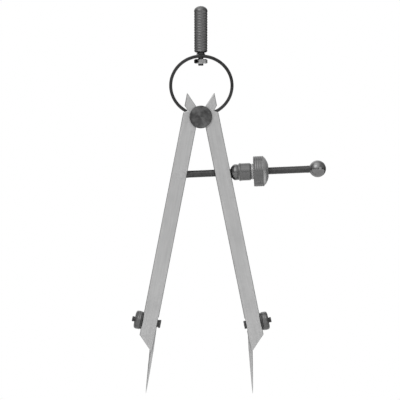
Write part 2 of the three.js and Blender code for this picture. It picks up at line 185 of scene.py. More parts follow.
def place(origin, axis):
    """A frame whose Z runs along axis."""
    turn = Vector(axis).to_track_quat("Z", "Y").to_matrix().to_4x4()
    return Matrix.Translation(Vector(origin)) @ turn


def leg_place(side):
    """A leg's frame: X outward across the leg, Z up the leg, the fulcrum's axis at 0."""
    across = Vector(JOINTS[f"{side}_clamp_nut_spin"]["axis"]).normalized()
    depth = Vector((0, SIDES[side], 0))
    turn = Matrix((across, depth, across.cross(depth))).transposed().to_4x4()
    return Matrix.Translation(Vector(JOINTS[f"{side}_leg_swing"]["pos_m"])) @ turn


def in_leg(side, across, along=0.0):
    """A point in a leg's middle depth, given in its frame in millimetres, in metres."""
    return leg_place(side) @ Vector((across * MM, 0, along * MM))


ANCHOR = Vector(JOINTS["screw_swivel"]["pos_m"])  # where the screw turns in the left leg
SCREW_AXIS = Vector(JOINTS["washer_slide"]["axis"]).normalized()
SCREW_PLACE = place(ANCHOR, SCREW_AXIS)
MIDDLE = Vector(JOINTS["left_leg_swing"]["pos_m"])
UPRIGHT = place(MIDDLE, (0, 0, 1))
FRONTWARD = place(MIDDLE, FRONT)

# --- Meshes --------------------------------------------------------------------------------------


def mesh_object(name, points, faces, where):
    """An object of points in millimetres in the frame where."""
    mesh = bpy.data.meshes.new(name)
    mesh.from_pydata([Vector(point) * MM for point in points], [], faces)
    made = bpy.data.objects.new(name, mesh)
    bpy.context.scene.collection.objects.link(made)
    made.matrix_world = where
    return made


def smooth(made, kind="turned"):
    """Smooth shading that keeps every edge sharper than the kind's angle crisp."""
    mesh = made.data
    mesh.polygons.foreach_set("use_smooth", [True] * len(mesh.polygons))
    mesh.set_sharp_from_angle(angle=math.radians(SHARP[kind]))


def dress(made, material, body, node):
    """Gives a finished piece its material, hides the CAD node it replaces, and puts it in its body
    when it is given one."""
    made.data.materials.append(material)
    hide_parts(node)
    if body:
        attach(made, body)
    return made


def rounded(corners, steps=4):
    """A closed profile through (radius, height, round) corners. round is how far from the corner
    its round begins, and may be left out."""
    profile = []
    for i, corner in enumerate(corners):
        here = Vector(corner[:2])
        size = corner[2] if len(corner) > 2 else 0
        if not size:
            profile.append(tuple(here))
            continue
        before = here + (Vector(corners[i - 1][:2]) - here).normalized() * size
        after = here + (Vector(corners[(i + 1) % len(corners)][:2]) - here).normalized() * size
        for step in range(steps + 1):
            t = step / steps
            point = before * (1 - t) ** 2 + here * 2 * t * (1 - t) + after * t * t
            profile.append(tuple(point))
    return profile


def finer(profile, step, low, high):
    """The profile with points at most step apart in height between low and high."""
    result = []
    for (r0, h0), (r1, h1) in zip(profile, profile[1:] + profile[:1]):
        result.append((r0, h0))
        inside = low - 1e-6 <= min(h0, h1) and max(h0, h1) <= high + 1e-6
        count = math.ceil(abs(h1 - h0) / step) if inside and r0 > 0 and r1 > 0 else 1
        for i in range(1, count):
            t = i / count
            result.append((r0 + (r1 - r0) * t, h0 + (h1 - h0) * t))
    return result


def skin(rings):
    """Faces between each ring of point numbers and the next. One that repeats a corner loses it."""
    faces = []
    for lower, upper in zip(rings, rings[1:]):
        for i in range(len(lower)):
            j = (i + 1) % len(lower)
            corners = dict.fromkeys([lower[i], lower[j], upper[j], upper[i]])
            if len(corners) > 2:
                faces.append(list(corners))
    return faces


def lathe(profile, segments, relief=None):
    """Points and faces of a closed profile turned about Z. relief(angle, height) is how far the
    surface lies below the profile there."""
    points, rings = [], []
    for radius, height in profile:
        start = len(points)
        if radius < 1e-6:
            points.append((0, 0, height))
            rings.append([start] * segments)
            continue
        for i in range(segments):
            angle = math.tau * i / segments
            r = radius - (relief(angle, height) if relief else 0)
            points.append((r * math.cos(angle), r * math.sin(angle), height))
        rings.append(list(range(start, start + segments)))
    return points, skin(rings + rings[:1])


def turned(name, profile, where, segments=SEGMENTS["round"], relief=None):
    """An object turned about the frame's Z."""
    made = mesh_object(name, *lathe(profile, segments, relief), where)
    smooth(made)
    return made


def groove(x, flat=0.12):
    """1 at the bottom of a V groove that repeats each unit of x, and 0 on the flat between."""
    return max(0.0, 1 - abs(2 * (x % 1) - 1) / (1 - flat))


def knurl(low, high, teeth, pitch, depth, fade=0.3):
    """V grooves round and along a turned surface between two heights. Those round it are a pitch
    apart and full depth. Those along it, one for each tooth, are half as deep."""

    def relief(angle, height):
        if not low < height < high:
            return 0
        cut = max(groove((height - low) / pitch), groove(teeth * angle / math.tau) / 2)
        return depth * cut * min(1, (height - low) / fade, (high - height) / fade)

    return relief


def thread(low, high, pitch, depth):
    """One helical V groove between two heights, that runs out at both ends."""

    def relief(angle, height):
        if not low < height < high:
            return 0
        runout = min(1, (height - low) / pitch, (high - height) / pitch)
        return depth * runout * abs(2 * ((height / pitch - angle / math.tau) % 1) - 1)

    return relief


def prism(name, outline, depth, where):
    """An outline of (x, z) points, anticlockwise seen from -Y, given a depth along Y."""
    count = len(outline)
    points = [(x, y, z) for y in (-depth / 2, depth / 2) for x, z in outline]
    faces = [list(range(count)), list(range(2 * count - 1, count - 1, -1))]
    for i in range(count):
        j = (i + 1) % count
        faces.append([j, i, i + count, j + count])
    return mesh_object(name, points, faces, where)


def apply_modifiers(made):
    """Makes an object's modifiers part of its mesh."""
    bpy.context.view_layer.update()
    evaluated = made.evaluated_get(bpy.context.evaluated_depsgraph_get())
    final = bpy.data.meshes.new_from_object(evaluated)
    made.modifiers.clear()
    made.data = final


def subtract(made, cutters):
    """Cuts the cutters out of an object, after its other modifiers, and removes them."""
    for cutter in cutters:
        cut = made.modifiers.new("cut", "BOOLEAN")
        cut.operation = "DIFFERENCE"
        cut.solver = "EXACT"
        cut.object = cutter
    apply_modifiers(made)
    for cutter in cutters:
        bpy.data.objects.remove(cutter)


def cut_away(made, cutters, bevel):
    """Rounds an object's edges and then cuts the cutters out of it."""
    rounding = made.modifiers.new("edges", "BEVEL")
    rounding.width = bevel * MM
    rounding.segments = 3
    rounding.limit_method = "ANGLE"
    rounding.angle_limit = math.radians(BEVEL_FROM)
    rounding.use_clamp_overlap = False
    subtract(made, cutters)
    smooth(made, "leg")
    weighted = made.modifiers.new("normals", "WEIGHTED_NORMAL")
    weighted.keep_sharp = True
    weighted.weight = 100
    apply_modifiers(made)


# --- Materials -----------------------------------------------------------------------------------


CLOUD_SCALE = 60
TURNING_SCALE = 900
BUMP_HEIGHT = 0.00005


class Nodes:
    """A short way to add and link shader nodes."""

    def __init__(self, tree):
        self.tree = tree

    def add(self, kind, inputs=None, **settings):
        node = self.tree.nodes.new(kind)
        for key, value in settings.items():
            setattr(node, key, value)
        for key, value in (inputs or {}).items():
            if isinstance(value, bpy.types.NodeSocket):
                self.tree.links.new(value, node.inputs[key])
            else:
                node.inputs[key].default_value = value
        return node


def grey(level):
    """An opaque grey."""
    return (level, level, level, 1)


def crests(nodes, _):
    """How far a finely meshed surface stands out round a point."""
    geometry = nodes.add("ShaderNodeNewGeometry")
    edges = {"Value": geometry.outputs["Pointiness"], "From Min": 0.51, "From Max": 0.6}
    return nodes.add("ShaderNodeMapRange", {**edges, "To Min": 0, "To Max": 0.6}).outputs[0]


def beyond(nodes, value, middle, start, full):
    """Runs from 0 to 1 as value's distance from middle goes from start to full, in millimetres."""
    offset = nodes.add("ShaderNodeMath", {0: value, 1: middle * MM}, operation="SUBTRACT")
    away = nodes.add("ShaderNodeMath", {0: offset.outputs[0]}, operation="ABSOLUTE")
    ranged = {"Value": away.outputs[0], "From Min": start * MM, "From Max": full * MM}
    return nodes.add("ShaderNodeMapRange", ranged).outputs[0]


def leg_bevels(nodes, local):
    """The rounded long edges of a leg, front and back, where a painted dark reflection darkens the
    colour.
    """
    split = nodes.add("ShaderNodeSeparateXYZ", {"Vector": local})
    half_width, half_depth = (LEG["outer"] - LEG["inner"]) / 2, LEG["depth"] / 2
    middle = LEG["inner"] + half_width
    sides = beyond(nodes, split.outputs["X"], middle, half_width - LEG["edge"], half_width)
    faces = beyond(nodes, split.outputs["Y"], 0, half_depth - LEG["edge"], half_depth - 0.2)
    return nodes.add("ShaderNodeMath", {0: sides, 1: faces}, operation="MULTIPLY").outputs[0]


def mixed(nodes, factor, first, second):
    """A colour between two."""
    inputs = {"Factor": factor, "A": first, "B": second}
    return nodes.add("ShaderNodeMix", inputs, data_type="RGBA").outputs["Result"]


def clouded(nodes, local, stretched, scale, levels):
    """A colour that runs between two grey levels in soft clouds and streaks."""
    clouds = nodes.add("ShaderNodeTexNoise", {"Vector": local, "Scale": CLOUD_SCALE, "Detail": 3})
    broad = {"Vector": stretched, "Scale": scale / 3, "Detail": 4}
    streaks = nodes.add("ShaderNodeTexNoise", broad)
    blend = {"Factor": 0.6, "A": clouds.outputs[0], "B": streaks.outputs[0]}
    patches = nodes.add("ShaderNodeMix", blend, data_type="FLOAT")
    contrast = {"Value": patches.outputs[0], "From Min": 0.36, "From Max": 0.64}
    shade = nodes.add("ShaderNodeMapRange", contrast)
    return mixed(nodes, shade.outputs[0], *map(grey, levels))


def facing(nodes, local, shader):
    """Gives a shader the gloss of a face turned about Z, and returns the height of its marks."""
    tangent = nodes.add("ShaderNodeTangent", direction_type="RADIAL", axis="Z")
    shader.inputs["Anisotropic"].default_value = 1
    shader.inputs["Anisotropic Rotation"].default_value = 0.25
    nodes.tree.links.new(tangent.outputs[0], shader.inputs["Tangent"])
    marks = {"Vector": local, "Scale": TURNING_SCALE, "Distortion": 0.4, "Detail": 2}
    wave = nodes.add("ShaderNodeTexWave", marks, wave_type="RINGS", rings_direction="Z")
    return wave.outputs["Fac"]


def metal(name, levels, roughness, scale, stretch=1, bump=0.1, edge=None, faced=False):
    """A steel between two grey levels, whose roughness and bump follow a fine grain. stretch below 1
    draws the grain out along Z. edge is a pair: a function that finds the edges, and the grey level
    painted there; on the legs it is a painted dark reflection along the bevels.
    On a faced steel the bump follows its turning marks."""
    material = bpy.data.materials.new(name)
    material.use_nodes = True
    nodes = Nodes(material.node_tree)
    shader = material.node_tree.nodes["Principled BSDF"]
    shader.inputs["Metallic"].default_value = 1
    local = nodes.add("ShaderNodeTexCoord").outputs["Object"]
    mapping = nodes.add("ShaderNodeMapping", {"Vector": local, "Scale": (1, 1, stretch)})
    stretched = mapping.outputs[0]
    colour = clouded(nodes, local, stretched, scale, levels)
    if edge:
        # the edge level is painted into the colour: on the legs it is a painted dark reflection
        find, level = edge
        colour = mixed(nodes, find(nodes, local), colour, grey(level))
    nodes.tree.links.new(colour, shader.inputs["Base Color"])
    grained = {"Vector": stretched, "Scale": scale, "Detail": 6, "Roughness": 0.65}
    grain = nodes.add("ShaderNodeTexNoise", grained).outputs[0]
    low, high = roughness
    spread = {"Value": grain, "From Min": 0.3, "From Max": 0.7, "To Min": low, "To Max": high}
    gloss = nodes.add("ShaderNodeMapRange", spread)
    nodes.tree.links.new(gloss.outputs[0], shader.inputs["Roughness"])
    height = facing(nodes, local, shader) if faced else grain
    bumped = {"Height": height, "Strength": bump, "Distance": BUMP_HEIGHT}
    normal = nodes.add("ShaderNodeBump", bumped)
    nodes.tree.links.new(normal.outputs[0], shader.inputs["Normal"])
    return material


BRIGHT_CRESTS = (crests, 0.3)
# Painted dark reflections along the legs' bevels: their colour is darkened to stand in for the dark
# room they mirror.
PAINTED_DARK_BEVELS = (leg_bevels, 0.1)
SATIN = metal("satin_steel", (0.49, 0.56), (0.32, 0.46), 5000, 0.05, bump=0.25, edge=PAINTED_DARK_BEVELS)
SATIN_END = metal("satin_round_steel", (0.49, 0.56), (0.32, 0.46), 5000)
NEEDLE_STEEL = metal("needle_steel", (0.46, 0.56), (0.2, 0.34), 3000, 0.08)
BOW_STEEL = metal("blued_spring_steel", (0.04, 0.07), (0.22, 0.36), 1500)
KNURLED = metal("knurled_steel", (0.13, 0.17), (0.24, 0.36), 2500, edge=BRIGHT_CRESTS)
NUT_STEEL = metal("nut_steel", (0.14, 0.18), (0.2, 0.32), 1800, 0.05, edge=BRIGHT_CRESTS)
# A lighter steel for the thumb nut's neck and crown: painted light, brighter to stand in for the light
# they reflect.
PAINTED_LIT_CROWN_STEEL = metal("painted_lit_crown_steel", (0.5, 0.58), (0.4, 0.5), 1800)
NICKEL = metal("nickelled_steel", (0.62, 0.72), (0.08, 0.16), 1500, bump=0.05)
DARK = metal("dark_steel", (0.06, 0.09), (0.2, 0.34), 2200)
BALL_STEEL = metal("polished_dark_steel", (0.2, 0.24), (0.1, 0.16), 900, bump=0.03)
FACE_STEEL = metal("turned_dark_steel", (0.1, 0.22), (0.46, 0.54), 1500, bump=0.02, faced=True)

# --- Legs ----------------------------------------------------------------------------------------


def leg_outline(side):
    """A leg's outline in its frame, from the horn over the notch and the slanted end to the seat."""
    seat, inner, outer = LEG["seat"], LEG["inner"], LEG["outer"]
    middle, half, depth = -CLAMP["along"][side], CLAMP["relief_half"], CLAMP["relief_depth"]
    # the horn's slanted edge runs at 45 degrees from its tip and meets the round seat
    slant = LEG["horn"] - outer
    arc_start = -math.acos(inner / seat)
    arc_end = math.pi / 4 + math.asin(slant / (seat * math.sqrt(2)))
    outline = [
        (outer, LEG["horn"]),
        (outer, NOTCH["top"]),
        NOTCH["root"],
        (outer, NOTCH["bottom"]),
        (outer, -LEG["bevel_start"]),
        (outer - (LEG["end"] - LEG["bevel_start"]), -LEG["end"]),
        (inner, -LEG["end"]),
        (inner, middle - half),
        (inner + depth, middle - half + depth),
        (inner + depth, middle + half - depth),
        (inner, middle + half),
    ]
    steps = 28
    for i in range(steps + 1):
        angle = arc_start + (arc_end - arc_start) * i / steps
        outline.append((seat * math.cos(angle), seat * math.sin(angle)))
    return outline[::-1]


def screw_in_leg(side, swing):
    """The screw's direction in a leg's frame when the leg has swung by so many degrees."""
    turned_back = Matrix.Rotation(-math.radians(swing), 3, "Y") @ SCREW_AXIS
    local = leg_place(side).to_3x3().inverted() @ turned_back
    return math.atan2(local.z, local.x)


def leg_local(side, point):
    """A point's X and Z in a leg's frame, in millimetres."""
    local = leg_place(side).inverted() @ point
    return local.x / MM, local.z / MM


def screw_slot(side, pivot, way):
    """The room that the screw sweeps about a pivot in a leg, on its way outward or inward."""
    turn = math.pi if way == "inward" else 0
    limits = JOINTS[f"{side}_leg_swing"]["range_deg"]
    low, high = sorted(screw_in_leg(side, swing) + turn for swing in limits)
    half, reach = SLOT_HALF, SLOT_REACH[way]
    steps = 16
    outline = []
    for i in range(steps + 1):
        angle = high + math.pi / 2 + (low - high + math.pi) * i / steps
        outline.append((pivot[0] + half * math.cos(angle), pivot[1] + half * math.sin(angle)))
    for angle, offset in ((low, -half), (high, half)):
        x = pivot[0] + reach * math.cos(angle) - offset * math.sin(angle)
        outline.append((x, pivot[1] + reach * math.sin(angle) + offset * math.cos(angle)))
    return prism("slot", outline, 2 * half, leg_place(side))


def bar(radius, low, high, where):
    """A round cutter."""
    profile = [(0, low), (radius, low), (radius, high), (0, high)]
    return mesh_object("bar", *lathe(profile, SEGMENTS["thin"]), where)


def bearing_point():
    """Where the swivel washer bears in the right leg: the anchor mirrored across the fulcrum."""
    offset = ANCHOR - MIDDLE
    return ANCHOR - 2 * offset.dot(SCREW_AXIS) * SCREW_AXIS


def left_screw_cuts():
    """The trunnion's hole and the screw's slot."""
    pivot = leg_local("left", ANCHOR)
    hole = bar(BARREL + SEAM, -LEG["depth"], LEG["depth"], place(ANCHOR, FRONT))
    return [hole, screw_slot("left", pivot, "outward")]


def right_screw_cuts():
    """The screw's slot right through the leg, and the trough that the swivel washer bears in."""
    bearing = bearing_point()
    pivot = leg_local("right", bearing)
    to_edge = (LEG["outer"] - pivot[0]) / math.cos(screw_in_leg("right", 0))
    dip = (bearing - ANCHOR).length / MM + to_edge - SWIVEL["pole"]
    centre = in_leg("right", LEG["outer"] - dip + TROUGH["centre"])
    up = leg_place("right").to_3x3() @ Vector((0, 0, 1))
    low, high = pivot[1] - TROUGH["below"], pivot[1] + TROUGH["above"]
    trough = bar(TROUGH["radius"], low, high, place(centre, up))
    return [*(screw_slot("right", pivot, way) for way in SLOT_REACH), trough]


def clamp_cuts(side):
    """The bore for the clamp bolt, wide up to the bolt's step and narrow beyond it."""
    where = clamp_place(side)
    start, end = CLAMP["bore"]
    step = CLAMP["bolt_step"] + SEAM
    return [
        bar(CLAMP["bolt_radius"] + SEAM, start, step, where),
        bar(CLAMP["stem_radius"] + SEAM, step - 1, end, where),
    ]


def needle_place(side):
    """A needle's frame: its point at 0 and its shank up Z."""
    return place(in_leg(side, *NEEDLE["tip"][side]), -Vector(JOINTS[f"{side}_needle_slide"]["axis"]))


def needle_bore(side):
    """The room for a needle's shank in its leg and its clamp bolt."""
    past = NEEDLE["bore_past"]
    low, high = NEEDLE["cone_length"] - past, NEEDLE["length"] + past
    return bar(NEEDLE["shank"] + SEAM, low, high, needle_place(side))


def leg(side):
    """A bar with rounded edges, cut for the screw, the clamp bolt and the needle."""
    made = prism(f"{side}_leg_bar", leg_outline(side), LEG["depth"], leg_place(side))
    cuts = left_screw_cuts() if side == "left" else right_screw_cuts()
    cut_away(made, [*cuts, *clamp_cuts(side), needle_bore(side)], LEG["edge"])
    dress(made, SATIN, f"{side}_leg", f"{side}_leg")


def needle(side):
    """A bulging cone from the point up, and a slightly thicker shank that the leg holds."""
    cone, shank = NEEDLE["cone"], NEEDLE["shank"]
    cone_end, end = NEEDLE["cone_length"], NEEDLE["length"]
    swell_end = cone_end - 0.6
    steps = 24
    profile = []
    for i in range(steps + 1):
        profile.append((cone * (i / steps) ** NEEDLE["swell"], swell_end * i / steps))
    profile += rounded([
        (cone, cone_end, 0.05),
        (shank, cone_end + 0.12, 0.05),
        (shank, end - 0.3, 0.1),
        (shank - 0.3, end, 0.1),
        (0, end),
    ])
    made = turned(f"{side}_needle_point", profile, needle_place(side), SEGMENTS["thin"])
    dress(made, NEEDLE_STEEL, f"{side}_needle", f"{side}_needle")


# --- Needle clamps -------------------------------------------------------------------------------


def clamp_place(side):
    """A clamp's frame: its bolt runs outward along Z, from the leg's inner side."""
    return place(in_leg(side, 0, -CLAMP["along"][side]), JOINTS[f"{side}_clamp_nut_spin"]["axis"])


def clamp_bolt(side):
    """A bolt with a dished and grooved head, a threaded stem and a hole that its needle runs in."""
    radius, stem, step = CLAMP["bolt_radius"], CLAMP["stem_radius"], CLAMP["bolt_step"]
    inner, end = CLAMP["bolt_inner"][side], CLAMP["stem_end"]
    groove_radius = radius - 0.25
    profile = rounded([
        (0, inner + 0.12),
        (0.5, inner + 0.12, 0.1),
        (0.7, inner, 0.1),
        (radius, inner, 0.3),
        (radius, inner + 1.05, 0.1),
        (groove_radius, inner + 1.15, 0.08),
        (groove_radius, inner + 1.75, 0.08),
        (radius, inner + 1.85, 0.05),
        (radius, step, 0.1),
        (stem, step, 0.1),
        (stem, end, 0.35),
        (0, end),
    ])
    profile = finer(profile, SMALL_STEP, step, end)
    relief = thread(CLAMP["nut_start"], end - 0.3, **SMALL_THREAD)
    made = turned(f"{side}_bolt", profile, clamp_place(side), SEGMENTS["thin"], relief)
    subtract(made, [needle_bore(side)])
    smooth(made)
    dress(made, DARK, f"{side}_leg", f"{side}_clamp_bolt")


def clamp_washer(side):
    """A plain washer between the leg and the clamp nut."""
    start = LEG["outer"] + SEAM
    end = CLAMP["nut_start"] - SEAM
    bore, rim = CLAMP["stem_radius"] + SEAM, CLAMP["washer_radius"]
    profile = rounded([
        (bore, start, 0.06), (rim, start, 0.15), (rim, end, 0.2), (bore, end, 0.06),
    ])
    made = turned(f"{side}_washer", profile, clamp_place(side))
    dress(made, DARK, f"{side}_leg", f"{side}_clamp_washer")


def clamp_nut(side):
    """A round nut: a knurled band, a narrow groove, and a plain domed end."""
    bore, rim = CLAMP["stem_radius"] + SEAM, CLAMP["nut_radius"]
    start, end = CLAMP["nut_start"], CLAMP["nut_end"]
    low, high = start + 0.15, start + 2.05
    profile = rounded([
        (bore, start, 0.1),
        (rim - 0.12, start, 0.06),
        (rim, low, 0.05),
        (rim, high, 0.05),
        (rim - 0.3, high + 0.08, 0.05),
        (rim - 0.3, high + 0.3, 0.06),
        (rim - 0.15, high + 0.38, 0.06),
        (rim - 0.7, end - 0.25, 0.35),
        (rim - 1.7, end, 0.5),
        (bore + 0.4, end, 0.15),
        (bore, end - 0.4, 0.1),
    ])
    profile = finer(profile, SMALL_STEP, low, high)
    pattern = KNURLS["clamp_nut"]
    relief = knurl(low, high, **pattern)
    made = turned(f"{side}_knurled_nut", profile, clamp_place(side), 8 * pattern["teeth"], relief)
    dress(made, KNURLED, f"{side}_clamp_nut", f"{side}_clamp_nut")


# --- Fulcrum -------------------------------------------------------------------------------------


def disc_profile(radius, inner_face, outer_face):
    """A disc with a rounded rim, shallow turned rings on its outer face and a dimple in its centre."""
    corners = [(radius, inner_face, 0.12), (radius, outer_face, 0.35)]
    width, depth = FULCRUM["turning_width"], FULCRUM["turning_depth"]
    ring = radius - FULCRUM["rim"]
    while ring > FULCRUM["last_ring"]:
        corners += [(ring, outer_face, 0.02), (ring - width / 2, outer_face - depth, 0.06)]
        ring -= width
    dimple_radius, dimple_depth = FULCRUM["dimple"]
    corners += [(dimple_radius, outer_face, 0.05), (0, outer_face - dimple_depth)]
    return corners


def fulcrum():
    """The front disc with its pin, the spool that the legs turn on, and the back disc."""
    low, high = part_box("fulcrum_stud")
    radius = (high.x - low.x) / 2 / MM
    face, back = (MIDDLE.y - low.y) / MM, (high.y - MIDDLE.y) / MM
    cap_face = (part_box("fulcrum_cap")[1].y - MIDDLE.y) / MM
    half, pin, spool = LEG["depth"] / 2, FULCRUM["pin"], LEG["seat"] - SEAM
    bore = pin + SEAM
    stud = [(0, -back), (pin, -back, 0.2), (pin, half + SEAM, 0.1)]
    stud += disc_profile(radius, half + SEAM, face)
    made = turned("fulcrum_front_disc", rounded(stud), FRONTWARD, SEGMENTS["disc"])
    dress(made, FACE_STEEL, "frame", "fulcrum_stud")
    roller = [(bore, -half, 0.1), (spool, -half, 0.15), (spool, half, 0.15), (bore, half, 0.1)]
    made = turned("fulcrum_spool", rounded(roller), FRONTWARD)
    dress(made, DARK, "frame", "fulcrum_roller")
    cap = [(0, back + SEAM), (bore, back + SEAM), (bore, half + SEAM)]
    cap += disc_profile(radius, half + SEAM, cap_face)
    made = turned("fulcrum_back_disc", rounded(cap), place(MIDDLE, BACK), SEGMENTS["disc"])
    dress(made, FACE_STEEL, "frame", "fulcrum_cap")


# --- Bow -----------------------------------------------------------------------------------------


def bow_ring(side):
    """Points along the middle of half the bow's ring, from its crown down."""
    low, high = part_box("spring_bow")
    centre_x = (low.x + high.x) / 2 / MM
    half_width = (high.x - low.x) / 2 / MM - BOW["thickness"] / 2
    half_height = (BOW["height"] - BOW["thickness"]) / 2
    centre_z = high.z / MM - BOW["height"] / 2
    last = math.radians(BOW["end_angle"])
    steps = 120
    centres = []
    for i in range(steps + 1):
        angle = math.pi + (last - math.pi) * i / steps
        x = centre_x + SIDES[side] * half_width * math.sin(angle)
        centres.append(Vector((x, centre_z - half_height * math.cos(angle))))
    return centres


def bow_end(side, ring):
    """Points on from the ring, in a bend to the tip in its leg's notch."""
    across, along = NOTCH["root"]
    inward, down = BOW["tip_in_notch"]
    tip_at = in_leg(side, across + inward, along + down)
    tip = Vector((tip_at.x, tip_at.z)) / MM
    start, heading = ring[-1], (ring[-1] - ring[-2]).normalized()
    bend = start + heading * (tip - start).length * 0.5
    steps = 12
    centres = []
    for i in range(1, steps + 1):
        t = i / steps
        centres.append(start * (1 - t) ** 2 + bend * 2 * t * (1 - t) + tip * t * t)
    return centres


def bow_path(side):
    """Stations of half the bow from its crown to its tip: centre, outward normal, half thickness."""
    centres = bow_ring(side)
    centres += bow_end(side, centres)
    full, tip_half, taper = BOW["thickness"] / 2, BOW["tip_half"], BOW["taper"]
    stations = []
    for i, centre in enumerate(centres):
        heading = (centres[min(i + 1, len(centres) - 1)] - centres[max(i - 1, 0)]).normalized()
        left = (centres[-1] - centre).length
        half = full
        if left < taper:
            half = tip_half + (full - tip_half) * math.sin(left / taper * math.pi / 2)
        stations.append((centre, Vector((heading.y, -heading.x)), half))
    return stations


def strip_section(half_thickness, half_depth, corner, steps=4):
    """A rounded rectangle of (outward, depth) points."""
    points = []
    for quarter, (u, v) in enumerate([(1, 1), (-1, 1), (-1, -1), (1, -1)]):
        for step in range(steps + 1):
            angle = (quarter + step / steps) * math.pi / 2
            points.append((
                u * (half_thickness - corner) + corner * math.cos(angle),
                v * (half_depth - corner) + corner * math.sin(angle),
            ))
    return points


def bow(side):
    """Half the bow, from its crown to its tip in its leg's notch. It is put in no body."""
    low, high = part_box("spring_bow")
    half_depth = (high.y - low.y) / 2 / MM
    points, rings = [], []
    for centre, normal, half in bow_path(side):
        section = strip_section(half, half_depth, min(BOW["corner"], half * 0.8))
        rings.append(range(len(points), len(points) + len(section)))
        for outward, depth in section:
            at = centre + normal * outward
            points.append((at.x, depth, at.y))
    faces = skin(rings) + [list(rings[0])[::-1], list(rings[-1])]
    if side == "right":
        faces = [face[::-1] for face in faces]
    made = mesh_object(f"bow_half_{side}", points, faces, Matrix.Translation(MIDDLE))
    smooth(made, "bow")
    dress(made, BOW_STEEL, None, "spring_bow")
    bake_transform(made)


# --- Handle, its stud and nut --------------------------------------------------------------------


def handle():
    """A grip bored for its stud, with a chamfered foot, a knurl and a domed top."""
    low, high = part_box("handle")
    radius = (high.x - low.x) / 2 / MM
    bottom, top = low.z / MM, high.z / MM
    bore, bore_end = HANDLE["bore"], bottom + HANDLE["bore_depth"]
    chamfer, dome = HANDLE["chamfer"], HANDLE["dome"]
    profile = rounded([
        (0, bore_end),
        (bore, bore_end),
        (bore, bottom + 0.5),
        (HANDLE["mouth"], bottom, 0.1),
        (radius - chamfer - 0.1, bottom, 0.12),
        (radius, bottom + chamfer, 0.15),
    ])
    profile.append((radius, top - dome))
    steps = 14
    for step in range(1, steps + 1):
        angle = step / steps * math.pi / 2
        flat = radius * math.cos(angle) if step < steps else 0
        profile.append((flat, top - dome + dome * math.sin(angle)))
    pattern = KNURLS["handle"]
    profile = finer(profile, pattern["pitch"] / 8, bottom + chamfer - 0.2, top - dome + 0.01)
    relief = knurl(bottom + chamfer + 0.1, top - dome, **pattern)
    made = turned("handle_grip", profile, UPRIGHT, 8 * pattern["teeth"], relief)
    dress(made, KNURLED, "frame", "handle")


def handle_stem():
    """The stud: a neck and a collar above the bow, and a thread from the crown down."""
    low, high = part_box("handle_stud")
    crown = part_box("spring_bow")[1].z / MM
    foot, top = low.z / MM, high.z / MM
    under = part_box("handle")[0].z / MM
    bolt, collar, neck = STEM["radius"], STEM["collar"], STEM["neck"]
    profile = rounded([
        (0, foot),
        (bolt, foot, 0.3),
        (bolt, crown + SEAM, 0.05),
        (collar, crown + SEAM, 0.1),
        (collar, crown + STEM["collar_height"], 0.15),
        (neck, crown + STEM["collar_height"] + 0.1, 0.05),
        (neck, under - SEAM, 0.05),
        (bolt, under - SEAM, 0.02),
        (bolt, top, 0.1),
        (0, top),
    ])
    profile = finer(profile, SMALL_STEP, foot, crown)
    relief = thread(foot + 0.1, crown - 2.4, **SMALL_THREAD)
    made = turned("handle_stem", profile, UPRIGHT, SEGMENTS["thin"], relief)
    dress(made, DARK, "frame", "handle_stud")


def bow_nut():
    """A hexagon nut. Where its chamfer's cone meets the six flats, each flat ends in an arc."""
    low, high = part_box("bow_nut")
    turn = math.radians(CROWN_NUT["turn"])
    corner = (high.x - low.x) / 2 / MM / math.cos(turn)
    bottom, top = low.z / MM, high.z / MM
    flat = corner * math.cos(math.pi / 6)
    face = flat * (1 - CROWN_NUT["chamfer"])
    slope = math.tan(math.radians(CROWN_NUT["slope"]))
    bore = STEM["radius"] + SEAM
    segments = 120

    def at(i, radius, height):
        angle = math.tau * i / segments
        return radius * math.cos(angle), radius * math.sin(angle), height

    def hexagon(i):
        angle = math.tau * i / segments
        return flat / math.cos((angle - turn) % (math.pi / 3) - math.pi / 6)

    rings = [
        [at(i, bore, bottom + 0.35) for i in range(segments)],
        [at(i, bore + 0.3, bottom) for i in range(segments)],
        [at(i, face, bottom) for i in range(segments)],
        [at(i, hexagon(i), bottom + (hexagon(i) - face) * slope) for i in range(segments)],
        [at(i, hexagon(i), top - (hexagon(i) - face) * slope) for i in range(segments)],
        [at(i, face, top) for i in range(segments)],
        [at(i, bore, top) for i in range(segments)],
    ]
    points = [point for ring in rings for point in ring]
    numbers = [range(start, start + segments) for start in range(0, len(points), segments)]
    made = mesh_object("crown_nut", points, skin(numbers + numbers[:1]), UPRIGHT)
    smooth(made, "hexagon")
    dress(made, NICKEL, "frame", "bow_nut")


# --- Screw, ball, swivel washer and nut ----------------------------------------------------------


def adjusting_screw():
    """A threaded rod from inside the trunnion, with a thinner core that ends inside the ball."""
    radius, core, pitch = SCREW["radius"], SCREW["core"], SCREW["pitch"]
    start, end = BARREL + 0.2, SCREW["ball_at"] - 4.2
    profile = rounded([
        (0, -1.3),
        (core, -1.3),
        (core, start, 0.05),
        (radius, start + 0.3, 0.1),
        (radius, end, 0.1),
        (core, end + 0.1),
        (core, SCREW["ball_at"]),
        (0, SCREW["ball_at"]),
    ])
    profile = finer(profile, pitch / 6, start, end + 0.1)
    relief = thread(start + 1, end - 1.2, pitch, SCREW["thread"])
    made = turned("threaded_screw", profile, SCREW_PLACE, SEGMENTS["screw"], relief)
    dress(made, DARK, "screw", "adjusting_screw")


